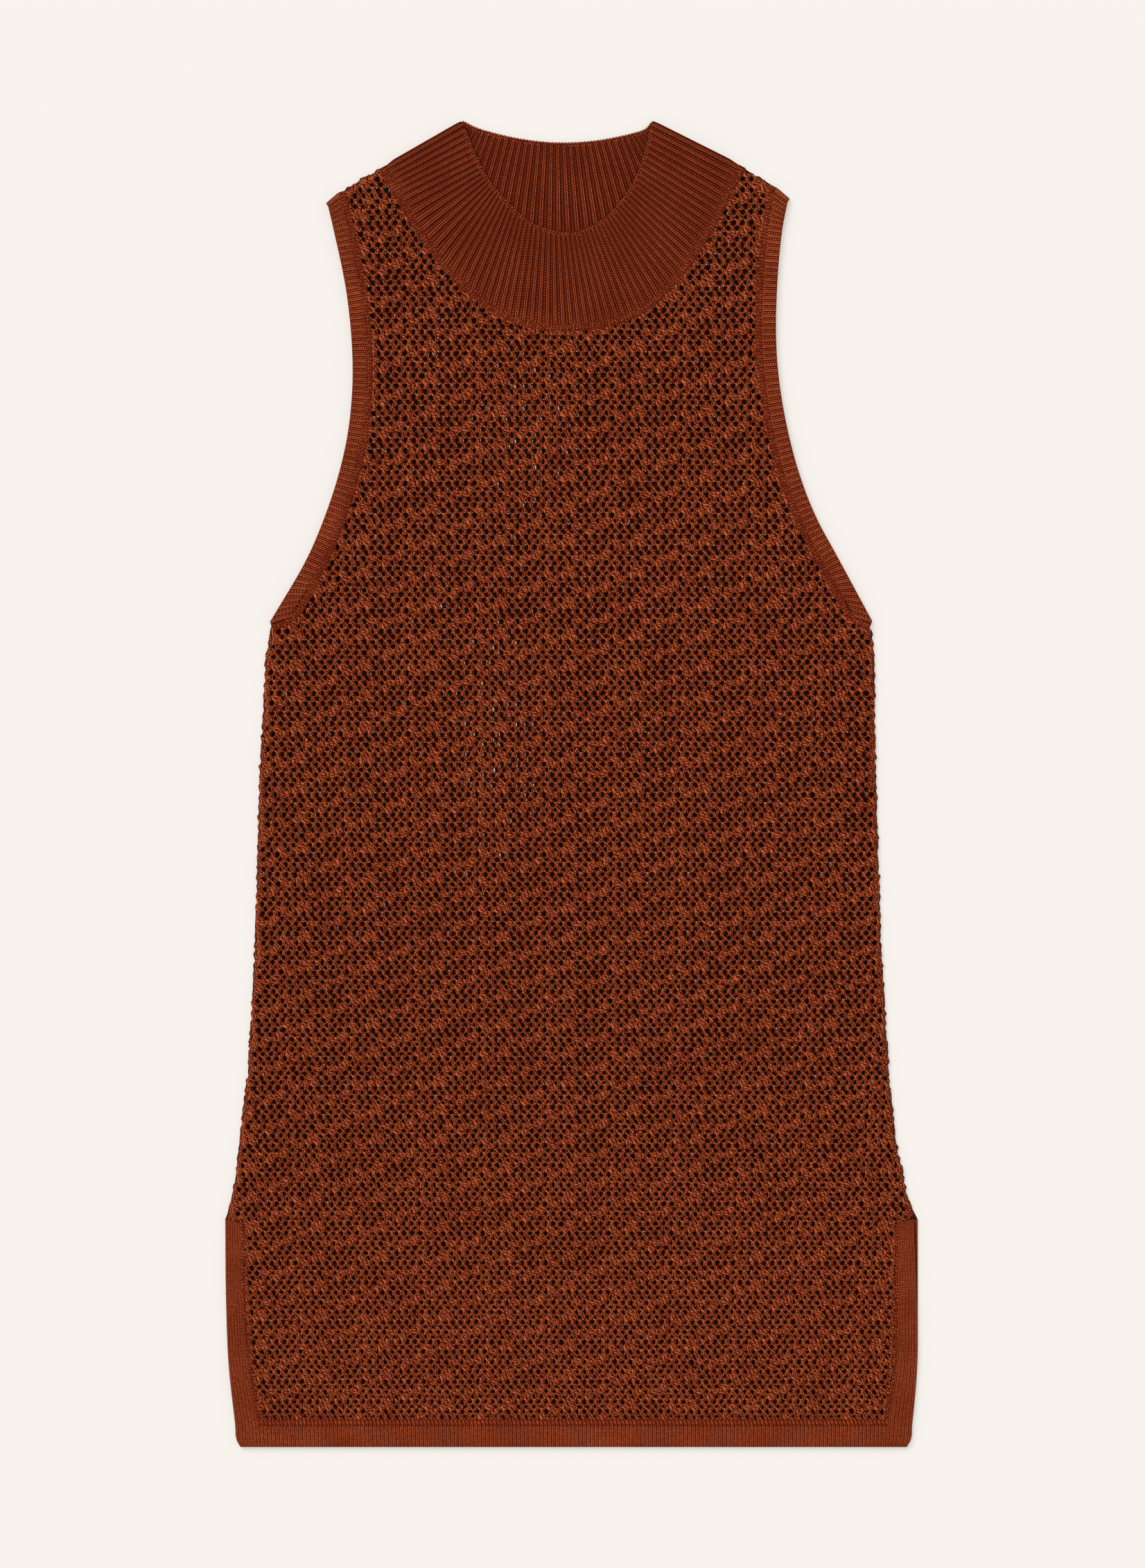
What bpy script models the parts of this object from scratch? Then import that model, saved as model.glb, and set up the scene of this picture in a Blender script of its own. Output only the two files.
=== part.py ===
"""A sleeveless knit top, laid flat with its front up: two openwork panels, one on the other, a wide
ribbed neckband, narrow armhole bands, and plain bands round the side vents and along the hem.

The sizes below are in millimetres. Tables give x from the garment's middle line, with the wearer's
right side at -X, and height above the lowest edge of the hem. The mesh is in metres: the cloth lies
in the XY plane with the neck towards +Y, and rests on the plane z = 0.
"""

import bmesh
import bpy
import numpy as np

MM = 0.001
NAME = "knit_top"

# Driving dimensions
LENGTH = 779.1  # hem to the top of the neckband
SEAM_GAP = 0.3  # between pieces that are linked together
LAYER_GAP = 0.3  # between the back and the front, which lies on it
PANEL_WALL = 1.6  # openwork cloth, and each band where it is linked to a panel
VENT_WALL = 1.6  # plain bands of the vents and the hem
ARMHOLE_WALL = 2.0
NECK_VALLEY = 1.8  # the neckband's wall between its ribs
NECK_RIDGE = 2.5  # and at the top of a rib
HEM_DEPTH = 12.5  # height of the hem band
ROLL = 2.5  # width over which a folded or free edge thins
ROLLED_EDGE = 0.45  # share of the wall left at such an edge
SEAM_EDGE = 0.8  # share of a plain band's wall left where it is linked
BACK_INNER = PANEL_WALL  # the plane of the back's inner face
FRONT_INNER = BACK_INNER + LAYER_GAP  # and of the front's

YARN = (0.36, 0.08, 0.022, 1.0)
RIB_YARN = (0.3, 0.06, 0.015, 1.0)

# A vent band's free edge and its seam, on both sides of a panel. The right back vent's free edge
# stands out beyond the front's, from under which it shows.
VENT = ("height", "left_edge", "left_seam", "right_edge", "right_seam")
FRONT_VENT = (
    (0.0, -194.5, -182.6, 197.0, 184.4),
    (3.5, -196.6, -182.8, 199.2, 184.6),
    (12.5, -197.6, -183.4, 200.2, 185.0),
    (48.0, -201.5, -189.5, 203.2, 189.9),
    (84.0, -203.0, -192.2, 203.0, 191.0),
    (131.5, -203.5, -193.4, 201.1, 191.2),
)
BACK_VENT = (
    (0.0, -194.5, -182.6, 197.0, 184.4),
    (3.5, -196.6, -182.8, 199.2, 184.6),
    (12.5, -197.6, -183.4, 200.2, 185.0),
    (48.0, -201.5, -189.5, 203.3, 190.0),
    (84.0, -203.0, -192.2, 203.5, 192.2),
    (131.5, -203.5, -193.4, 203.5, 193.4),
)
VENT_HEIGHTS = np.array([0.0, ROLL, HEM_DEPTH, HEM_DEPTH + ROLL, 48.0, 84.0, 131.5])
FOOT = 2  # the panel starts at this one of those heights
VENT_TOP_RISE = 2.0  # a vent band's top end is this much higher at its free edge

# The side seams, from the vents to the underarms.
SIDE = ("height", "left", "right")
SIDE_SEAM = (
    (137.0, -202.2, 201.2),
    (147.0, -199.8, 197.8),
    (160.0, -197.2, 194.8),
    (182.0, -195.0, 190.2),
    (220.0, -190.2, 186.6),
    (292.0, -186.0, 182.0),
    (390.0, -183.4, 178.9),
    (463.0, -179.7, 177.9),
    (479.5, -177.2, 176.4),
)

# The ribbed bands, rib by rib: a band's seam to its panel, and its free edge. The first and last
# rows are the outsides of its two folds. Armhole bands run from the underarm to the shoulder, and
# the neckband's layers from the left shoulder to the right.
BAND = ("rib", "seam_x", "seam_height", "edge_x", "edge_height")
LEFT_ARMHOLE = (
    (0, -163.9, 487.4, -176.4, 482.8),
    (18, -148.1, 516.8, -156.3, 520.4),
    (33, -137.5, 541.8, -145.7, 544.8),
    (62, -123.4, 592.3, -131.8, 593.7),
    (79, -120.5, 621.8, -128.8, 622.3),
    (109, -123.6, 676.5, -131.8, 675.2),
    (133, -132.0, 718.6, -140.0, 716.0),
    (144, -136.4, 737.2, -144.4, 730.8),
)
RIGHT_ARMHOLE = (
    (0, 165.0, 487.8, 175.9, 483.2),
    (20, 147.7, 520.2, 155.5, 524.5),
    (33, 136.6, 541.4, 144.5, 544.8),
    (69, 117.0, 604.4, 125.3, 606.0),
    (85, 112.9, 633.8, 121.2, 634.5),
    (115, 112.9, 687.9, 121.2, 687.5),
    (130, 115.5, 715.3, 123.7, 713.9),
    (144, 120.2, 740.0, 128.4, 733.4),
)
FRONT_NECK = (
    (0, -109.4, 752.7, -64.8, 779.3),
    (6, -97.6, 731.1, -54.0, 753.9),
    (19, -65.8, 687.5, -34.4, 727.4),
    (29, -32.4, 663.8, -17.3, 715.2),
    (38, 4.3, 659.7, 0.6, 713.1),
    (48, 43.0, 671.2, 19.8, 722.1),
    (55, 62.6, 690.7, 31.2, 733.5),
    (63, 81.3, 719.2, 38.9, 747.8),
    (72, 98.8, 753.1, 47.9, 779.6),
)
BACK_NECK = (
    (0, -109.4, 752.7, -64.8, 779.3),
    (6, -80.0, 731.2, -51.8, 773.6),
    (12, -47.5, 717.5, -30.0, 768.4),
    (18, -13.0, 711.7, -8.2, 766.2),
    (24, 23.0, 714.2, 13.8, 767.3),
    (30, 61.0, 726.8, 35.0, 771.4),
    (36, 98.8, 753.1, 47.9, 779.6),
)
NECK_COLUMNS_A_RIB = 3  # a ridge and two valley columns
FRONT_NECK_STEP = 2  # ribs from one column of the front panel's neck edge to the next
BACK_NECK_STEP = 4 / 3  # and of the back panel's
RIBS_AN_ARMHOLE_COLUMN = 12

# Shares of a band's width at which its wall changes: flush with the panel at its seam, full from
# the second level on, and thinner at its free edge.
NECK_LEVELS = (0.0, 0.12, 0.965, 1.0)
ARMHOLE_LEVELS = (0.0, 0.25, 0.8, 1.0)
FREE_EDGE = 0.6  # share of a ribbed band's wall left at its free edge
BEND_STEPS = 5  # steps round a band's fold, from its front layer to its back one
BEND_ROOM = 0.15  # half the room inside such a fold


def column(table, names, wanted):
    """One named column of a table, as an array."""
    return np.array([row[names.index(wanted)] for row in table])


def smooth(key, values, at):
    """Values read between their keys, along cubic curves that pass through every one of them and
    run on smoothly from one to the next."""
    slope = np.gradient(values, key, axis=0)
    low = np.clip(np.searchsorted(key, at, side="right") - 1, 0, len(key) - 2)
    span = (key[low + 1] - key[low])[:, None]
    u = (at - key[low])[:, None] / span
    start = (1 + 2 * u) * (1 - u) ** 2 * values[low] + u * (1 - u) ** 2 * span * slope[low]
    end = u**2 * (3 - 2 * u) * values[low + 1] + u**2 * (u - 1) * span * slope[low + 1]
    return start + end


def unit(vectors):
    return vectors / np.linalg.norm(vectors, axis=-1, keepdims=True)


def turned_left(vectors):
    return np.stack([-vectors[..., 1], vectors[..., 0]], axis=-1)


def moved_left(line, distance):
    """A line of plan points moved to the left of its direction of travel, with mitred corners."""
    along = unit(np.diff(line, axis=0))
    before, after = np.vstack([along[:1], along]), np.vstack([along, along[-1:]])
    mitre = turned_left(unit(before + after))
    reach = distance / np.sum(mitre * turned_left(after), axis=1, keepdims=True)
    return line + mitre * reach


def material(name, colour):
    """Matt yarn."""
    made = bpy.data.materials.new(name)
    made.use_nodes = True
    shader = made.node_tree.nodes["Principled BSDF"]
    shader.inputs["Base Color"].default_value = colour
    shader.inputs["Roughness"].default_value = 0.85
    shader.inputs["Metallic"].default_value = 0.0
    made.diffuse_color = colour
    return made


def placed(points):
    """Table points (x, height, z) in millimetres, as mesh points in metres about the middle."""
    return (np.asarray(points) - (0.0, LENGTH / 2, 0.0)) * MM


def piece(name, builder, colour):
    """A named object in the garment's collection, with its own material, from a finished bmesh."""
    mesh = bpy.data.meshes.new(name)
    builder.to_mesh(mesh)
    builder.free()
    mesh.shade_smooth()
    mesh.materials.append(material(name + "_yarn", colour))
    made = bpy.data.objects.new(name, mesh)
    garment.objects.link(made)
    return made


def flat_piece(name, plan, shares, wall, inner, faces_up):
    """A flat piece of cloth: a grid of plan points on its plain inner face, given its wall by
    Solidify towards its outside, with a share of the wall at each point."""
    rows, columns = plan.shape[:2]
    builder = bmesh.new()
    bmesh.ops.create_grid(builder, x_segments=columns - 1, y_segments=rows - 1, size=1.0)
    points = placed(np.dstack([plan, np.full((rows, columns), inner)]).reshape(-1, 3))
    for vertex, point in zip(builder.verts, points):
        vertex.co = point
    if not faces_up:
        bmesh.ops.reverse_faces(builder, faces=builder.faces[:])
    made = piece(name, builder, YARN)
    group = made.vertex_groups.new(name="wall_share")
    for index, share in enumerate(shares.ravel()):
        group.add([index], float(share), "REPLACE")
    solidify = made.modifiers.new("wall", "SOLIDIFY")
    solidify.thickness = wall * MM
    solidify.offset = 1.0
    solidify.vertex_group = group.name


def fold_outward(seam, edge, inside):
    """The direction in plan in which a band's fold faces, away from a point inside the band."""
    outward = turned_left(unit(edge - seam))
    return outward if np.dot(seam - inside, outward) > 0 else -outward


def band_points(table, ribs_a_column, wall):
    """Seam and free edge of one layer of a ribbed band, in columns at even steps of its ribs. Its
    first and last columns are drawn in by half the thickness of the fold, whose wall bends there."""
    ribs = column(table, BAND, "rib").astype(float)
    points = np.array([row[1:] for row in table]).reshape(-1, 2, 2)
    half = np.array([FRONT_INNER + PANEL_WALL, FRONT_INNER - PANEL_WALL + 2 * wall]) / 2
    inside = points.mean(axis=(0, 1))
    for end in (0, -1):
        points[end] -= half[:, None] * fold_outward(points[end, 0], points[end, 1], inside)
    at = np.arange(0, ribs[-1] + ribs_a_column / 2, ribs_a_column)
    return smooth(ribs, points.reshape(-1, 4), at).reshape(-1, 2, 2)


def seam_line(table, ribs_a_column, wall):
    """A ribbed band's seam in plan, round both of its folds to their outsides."""
    first, last = np.array([table[0][1:3]]), np.array([table[-1][1:3]])
    return np.vstack([first, band_points(table, ribs_a_column, wall)[:, 0], last])


def vent_lines(table, side):
    """A vent band's free edge and seam in plan, from the hem up."""
    heights = column(table, VENT, "height")
    values = np.stack([column(table, VENT, side + line) for line in ("_edge", "_seam")], axis=1)
    edge, seam = smooth(heights, values, VENT_HEIGHTS).T
    rise = np.where(VENT_HEIGHTS == VENT_HEIGHTS[-1], VENT_TOP_RISE, 0.0)
    return np.stack([edge, VENT_HEIGHTS + rise], 1), np.stack([seam, VENT_HEIGHTS], 1)


def side_line(side, vent, armhole):
    """A panel's side from the hem band to the shoulder: up the vent band's seam, out over the top of
    the band, up the side seam, and in under the armhole band and up its seam."""
    edge, seam = vent_lines(vent, side)
    ribbed = seam_line(armhole, RIBS_AN_ARMHOLE_COLUMN, ARMHOLE_WALL)
    away = -SEAM_GAP if side == "left" else SEAM_GAP
    by_vent = moved_left(np.vstack([seam, edge[-1:]]), away)[FOOT:]
    by_vent[-1, 0] = edge[-1, 0]
    by_vent[0, 1] += SEAM_GAP
    folded = np.stack([column(SIDE_SEAM, SIDE, side), column(SIDE_SEAM, SIDE, "height")], axis=1)
    by_armhole = moved_left(np.vstack([armhole[0][3:], ribbed]), away)
    return np.vstack([by_vent, folded, by_armhole])


def top_line(neck, neck_step, left_tip, right_tip):
    """A panel's upper edge: along one shoulder, round the neckband's seam, and along the other."""
    by_neck = moved_left(seam_line(neck, neck_step, NECK_RIDGE), -SEAM_GAP)
    shoulders = []
    for tip, corner in ((left_tip, by_neck[0]), (right_tip, by_neck[-1])):
        along = unit(corner - tip)
        shoulders.append([tip, tip + ROLL * along, (tip + corner) / 2, corner - ROLL * along])
    return np.vstack([shoulders[0], by_neck, shoulders[1][::-1]])


def panel(name, vent, neck, neck_step, inner, faces_up):
    """A front or back panel: each row of points runs straight from side to side, and takes up the
    shape of the upper edge in the measure that it nears it (a Coons patch)."""
    left = side_line("left", vent, LEFT_ARMHOLE)
    right = side_line("right", vent, RIGHT_ARMHOLE)
    top = top_line(neck, neck_step, left[-1], right[-1])
    up = (left[:, 1] - left[0, 1]) / (left[-1, 1] - left[0, 1])
    across = (top[:, 0] - top[0, 0]) / (top[-1, 0] - top[0, 0])
    t, s = up[:, None, None], across[None, :, None]
    straight = (1 - s) * left[:, None] + s * right[:, None]
    plan = straight + t * (top[None] - (1 - s) * left[-1] - s * right[-1])
    # The sides' last short step goes round the armhole bands' folds, so it isn't carried across.
    plan[-2, 1:-1] = top[1:-1] - (0.0, ROLL)
    shares = np.ones(plan.shape[:2])
    shares[[0, -1]] = ROLLED_EDGE
    shares[:, [0, -1]] = ROLLED_EDGE
    flat_piece(name, plan, shares, PANEL_WALL, inner, faces_up)


def vent_band(name, vent, side, inner, faces_up):
    """A plain band up one vent edge, from the hem to the foot of the side seam."""
    edge, seam = vent_lines(vent, side)
    inwards = ROLL * unit(seam - edge)
    lines = [edge, edge + inwards, seam - inwards, seam]
    shares = np.ones((len(VENT_HEIGHTS), len(lines)))
    shares[:, -1] = SEAM_EDGE
    shares[:, 0] = shares[0] = ROLLED_EDGE
    if side == "right":
        lines, shares = lines[::-1], shares[:, ::-1]
    flat_piece(name, np.stack(lines, axis=1), shares, VENT_WALL, inner, faces_up)


def hem_band(name, vent, inner, faces_up):
    """A plain band across the foot of a panel, between its vent bands."""
    (_, left), (_, right) = vent_lines(vent, "left"), vent_lines(vent, "right")
    s = np.linspace(0, 1, 9)[None, :, None]
    rows = slice(0, FOOT + 1)
    gap = (SEAM_GAP, 0.0)
    plan = (1 - s) * (left[rows, None] + gap) + s * (right[rows, None] - gap)
    shares = np.full(plan.shape[:2], 1.0)
    shares[0] = ROLLED_EDGE
    shares[-1] = SEAM_EDGE
    flat_piece(name, plan, shares, VENT_WALL, inner, faces_up)


def ribbed_band(name, front, back, levels, valley, ridge):
    """A band that goes right round, pressed flat. front and back are its layers: their plan points,
    column by column from one fold to the other, and how high the rib stands at each column. A
    layer's lower face is plain and its upper face ribbed. Beyond each fold line the wall bends half
    a turn, from the front layer to the back."""
    levels = np.array(levels)[:, None]
    full = np.clip(levels / levels[1], 0, 1)
    taper = np.where(levels < 1, 1.0, FREE_EDGE)
    rise = full * (ridge - PANEL_WALL)

    def layer(points, ribs):
        plan = points[None, :, 0] + levels[:, :, None] * (points[:, 1] - points[:, 0])[None]
        swell = valley + (ridge - valley) * ribs[None] - PANEL_WALL
        return plan, (PANEL_WALL + full * swell) * taper

    def bend(high, low, reach, end):
        """The half turn at one end of the layers, between the heights high and low."""
        angle = np.linspace(np.pi / 2, -np.pi / 2, BEND_STEPS + 1)[None, 1:-1]
        seam, edge = front_plan[0, end], front_plan[-1, end]
        outward = fold_outward(seam, edge, front_plan.mean(axis=(0, 1)))
        high, low = high[:, [end]], low[:, [end]]
        plan = front_plan[:, end, None] + (reach(high, low) * np.cos(angle))[:, :, None] * outward
        return np.dstack([plan, (high + low) / 2 + (high - low) / 2 * np.sin(angle)])

    def ring(high, low, reach):
        """One face of the band right round, from the front layer's height to the back's."""
        right_bend, left_bend = bend(high, low, reach, -1), bend(high, low, reach, 0)
        over, under = np.dstack([front_plan, high]), np.dstack([back_plan, low])
        return np.concatenate([over, right_bend, under[:, ::-1], left_bend[:, ::-1]], axis=1)

    front_plan, front_wall = layer(*front)
    back_plan, back_wall = layer(*back)
    front_low = FRONT_INNER + rise + np.zeros_like(front_wall)
    outside = ring(
        front_low + front_wall, np.zeros_like(back_wall), lambda high, low: (high - low) / 2
    )
    inside = ring(front_low, back_wall, lambda high, low: BEND_ROOM + 0 * high)
    closed_loft(name, outside, inside)


def closed_loft(name, outside, inside):
    """The wall between two unlike rings of points: strips of faces run round the outside from the
    first row to the last, over the free edge, back down the inside and across the seam edge."""
    rows = np.concatenate([outside, inside[::-1]])
    around = rows.shape[1]
    builder = bmesh.new()
    vertices = [builder.verts.new(point) for point in placed(rows.reshape(-1, 3))]
    for row in range(len(rows)):
        here, there = row * around, (row + 1) % len(rows) * around
        for k in range(around):
            after = (k + 1) % around
            corners = (here + k, here + after, there + after, there + k)
            builder.faces.new([vertices[corner] for corner in corners])
    bmesh.ops.recalc_face_normals(builder, faces=builder.faces[:])
    piece(name, builder, RIB_YARN)


def neckband():
    """1x1 rib, its ridges raised on the front layer's outside and on the back layer's inside."""
    layers = []
    for table in (FRONT_NECK, BACK_NECK):
        points = band_points(table, 1 / NECK_COLUMNS_A_RIB, NECK_RIDGE)
        ribs = np.where(np.arange(len(points)) % NECK_COLUMNS_A_RIB == 0, 1.0, 0.0)
        layers.append((points, ribs))
    ribbed_band("neckband", *layers, NECK_LEVELS, NECK_VALLEY, NECK_RIDGE)


def armhole_band(side, table):
    """Too fine a rib to raise: its two layers are plain, and one lies on the other."""
    points = band_points(table, RIBS_AN_ARMHOLE_COLUMN, ARMHOLE_WALL)
    layer = (points, np.ones(len(points)))
    ribbed_band(
        "armhole_band_" + side, layer, layer, ARMHOLE_LEVELS, ARMHOLE_WALL, ARMHOLE_WALL
    )


for old in list(bpy.data.objects):
    bpy.data.objects.remove(old)
garment = bpy.data.collections.new(NAME)
bpy.context.scene.collection.children.link(garment)

for side, vent, neck, neck_step, inner, faces_up in (
    ("front", FRONT_VENT, FRONT_NECK, FRONT_NECK_STEP, FRONT_INNER, True),
    ("back", BACK_VENT, BACK_NECK, BACK_NECK_STEP, BACK_INNER, False),
):
    panel(side + "_panel", vent, neck, neck_step, inner, faces_up)
    hem_band("hem_band_" + side, vent, inner, faces_up)
    for hand in ("left", "right"):
        vent_band(f"vent_band_{side}_{hand}", vent, hand, inner, faces_up)
neckband()
armhole_band("left", LEFT_ARMHOLE)
armhole_band("right", RIGHT_ARMHOLE)
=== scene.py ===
import bpy
import numpy as np
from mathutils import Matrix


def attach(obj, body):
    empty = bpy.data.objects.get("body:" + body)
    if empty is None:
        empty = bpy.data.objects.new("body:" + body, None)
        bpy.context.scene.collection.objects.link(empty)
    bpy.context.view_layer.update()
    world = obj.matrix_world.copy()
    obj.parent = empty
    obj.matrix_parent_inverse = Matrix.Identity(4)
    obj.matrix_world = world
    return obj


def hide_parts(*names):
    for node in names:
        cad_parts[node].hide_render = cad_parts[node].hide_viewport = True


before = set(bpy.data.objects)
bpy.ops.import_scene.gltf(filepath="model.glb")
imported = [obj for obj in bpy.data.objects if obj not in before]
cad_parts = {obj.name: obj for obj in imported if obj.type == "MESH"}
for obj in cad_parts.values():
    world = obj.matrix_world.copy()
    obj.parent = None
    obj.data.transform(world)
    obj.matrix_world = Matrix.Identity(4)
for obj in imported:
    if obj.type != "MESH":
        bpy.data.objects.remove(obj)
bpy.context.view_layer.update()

# The two panels: openwork knit in a crepe yarn of viscose and cotton, knitted from the hem up. Its
# eyelets stand like bricks, two wales wide and a row apart, and those that are missed out draw the
# zigzags. Each panel lies flat, the back's outside down and the front's outside up.
MM = 0.001
HALF_LENGTH = 389.55  # mm from the hem up to the middle of the garment
BACK_OUTSIDE, BACK_INSIDE, FRONT_INSIDE, FRONT_OUTSIDE = 0.0, 1.6, 1.9, 3.5  # mm above the floor
# Yarn colours: the middle one is the yarn's own, the dark one painted shade low between its stitches, the
# light one partly its own and partly a painted highlight on their crests, and the last one painted shade
# in eyelets, grooves and on the inner faces inside the garment.
YARN_LIGHT, YARN_MIDDLE, YARN_DARK, YARN_SHADE = "C26138", "7F311A", "3A0500", "190000"

# The cloth's runs of yarn, with places and widths in wales: a knit wale's two legs, the left one drawn
# smooth, and the bars of the purl wale beside it.
RUN = ("middle", "half_width", "bead", "slant", "start", "level")
RIB_RUNS = (
    (-0.3, 0.18, 0.1, 0.0, 0.0, 0.88),
    (0.24, 0.27, 0.65, 0.9, 0.0, 0.95),
    (1.0, 0.33, 0.85, 0.0, 0.5, 0.85),
)
OPEN_RUNS = (
    (-0.3, 0.23, 0.35, 0.3, 0.0, 1.0),
    (0.3, 0.24, 0.8, 1.0, 0.0, 1.0),
    (1.0, 0.32, 0.9, 0.6, 0.5, 0.95),
)

GAUGE = ("height", "wale", "row")  # mm: where, the width of a wale, and from one eyelet row to the next
STITCHES = (
    (0.0, 2.24, 2.93),
    (35.0, 2.24, 2.93),
    (247.0, 2.40, 2.81),
    (451.0, 2.50, 3.02),
    (590.0, 2.53, 3.18),
    (790.0, 2.56, 3.22),
)
FIRST_ROW = 482.1  # mm, height of the chart's top row
MIDDLE_WALE = 19.77  # the wale that runs up the garment's middle line
STAGGER = 0.17  # wales by which each row of eyelets lies to one side of the next
WAVE = -0.22  # mm by which the rows rise and fall across a repeat
HONEYCOMB = 0.16  # rows by which the net's knots give way to the eyelets
CHART = (  # eyelets at every other wale of a row, row by row downwards: wide, plain, narrow and none
    "ooso.oOs",
    "O.sOOOoO",
    "s..Ooos.",
    "sOOOOOO.",
    "sOoooo.s",
    "oO.s..sO",
)
REPEAT_WALES = 2 * len(CHART[0])
EYELET = {"s": (0.7, 1.32), "o": (0.93, 1.6), "O": (1.16, 1.88)}  # mm, half width and half height
EYELET_GROWTH = ((0, 60, 240, 480, 790), (0.7, 0.76, 0.92, 1.0, 1.04))  # their size by height in mm
TALLEST = 0.6  # rows, most for an eyelet's half height
EYELET_ROOM = 1.2  # mm, least distance of an eyelet's middle from where the net starts
LEAN, LEAN_WAVE = 0.25, 0.22  # mm by which an eyelet's ends stand aside, and its change in a repeat
SLIT = 0.35  # share of an eyelet's size over which its stitches part
RIM_DROP = 0.32  # mm from the cloth's outside down to an eyelet's rim
RIM_SHADE, EDGE_SHADE = 0.48, 0.1  # painted shade at an eyelet's rim and along the outline
EDGE = 0.6  # mm, plain strip along the outline
ZIGZAG = 0.32  # wales by which the strands swing between one row and the next
PLAIN_SHADE = 0.24  # painted shade where the net has no eyelets
SEAM_GAP = 0.3  # mm between the solids, which the linked cloth closes
SPLIT_HEIGHT = 300.0  # mm: each panel is drawn in an upper and a lower half
SHOWN_THROUGH = (  # where the back's eyelets come to lie under the front's: x, height, reach each way
    (-45.0, 415.0, 32.0, 85.0),
    (-28.0, 600.0, 34.0, 62.0),
)
DRAG = 0.22  # wales by which the back is dragged there
WALES_DRAWN, ROWS_DRAWN = (-70, 112), (-172, 96)  # stitches that cover a panel, and more
VENT_END, UNDERARM, SHOULDER = 134, 480, 737.3  # mm, heights at which the outline's edges change
SHOULDER_ENDS = (-109.6, 99)  # mm, x of the shoulders' ends at the neck
HEM_TOP = 13.5  # mm, just above the hem band
VENT_STEP = 132.5  # mm, height of the outline's short edges over the vent bands
NET_START = {"band": 3.2, "vent": 1.0, "hem": 3.4}  # mm in from such an edge
EDGE_DROP = {"turned": 1.5, "vent step": 0.1, "linked": 0.4}  # mm by which the outline lies lower
ROUND_OFF = 2.4  # mm, over which the cloth rounds down to it
SCALLOP, SCALLOP_MEAN = 0.28, 0.05  # mm by which a turned edge swells at each row, and on average
UNEVEN = {  # spread of the seeded draws: in mm, and for size a share
    "knot": 0.12,
    "size": 0.15,
    "lean": 0.14,
    "rim": 0.07,
    "crest": 0.06,
    "edge": 0.3,
}
BACK_NARROW = 0.22  # share by which the back's eyelets are narrower, its cloth being drawn in

UNEVEN_SIZE = 1000 / 230  # mm, over which the stitches lie unevenly: about 4.3
CREPE_SIZE = 1000 / 620  # mm, of the yarn's crepe: about 1.6, coarser than the real one, so that it shows
PATCH_SIZE = 1000 / 45  # mm, over which the colour drifts: about 22


def columns(names, table):
    """A table's columns by their names, as arrays."""
    return dict(zip(names, np.array(table, float).T))


gauge = columns(GAUGE, STITCHES)
fine_height = np.linspace(-5.0, 790.0, 1591)  # mm, every half millimetre of a panel and a little more
fine_step = fine_height[1] - fine_height[0]
fine_row = np.cumsum(fine_step / np.interp(fine_height, gauge["height"], gauge["row"]))
fine_row -= np.interp(FIRST_ROW, fine_height, fine_row)


def linear(code):
    """An sRGB hex colour as linear light: each channel c is ((c + 0.055) / 1.055) to the power 2.4,
    or c / 12.92 where it is under 0.04045."""
    channel = np.array([int(code[k : k + 2], 16) for k in (0, 2, 4)]) / 255
    light = np.where(channel < 0.04045, channel / 12.92, ((channel + 0.055) / 1.055) ** 2.4)
    return (*light.tolist(), 1.0)


def add(material, kind, inputs, out=0, **settings):
    """Adds a shader node with its settings. Each input gets a link from another node's output, or a
    value. Returns one of the node's outputs."""
    made = material.node_tree.nodes.new("ShaderNode" + kind)
    for word, value in settings.items():
        setattr(made, word, value)
    for socket, value in inputs.items():
        if isinstance(value, bpy.types.NodeSocket):
            material.node_tree.links.new(value, made.inputs[socket])
        else:
            made.inputs[socket].default_value = value
    return made.outputs[out] if made.outputs else None


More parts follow.
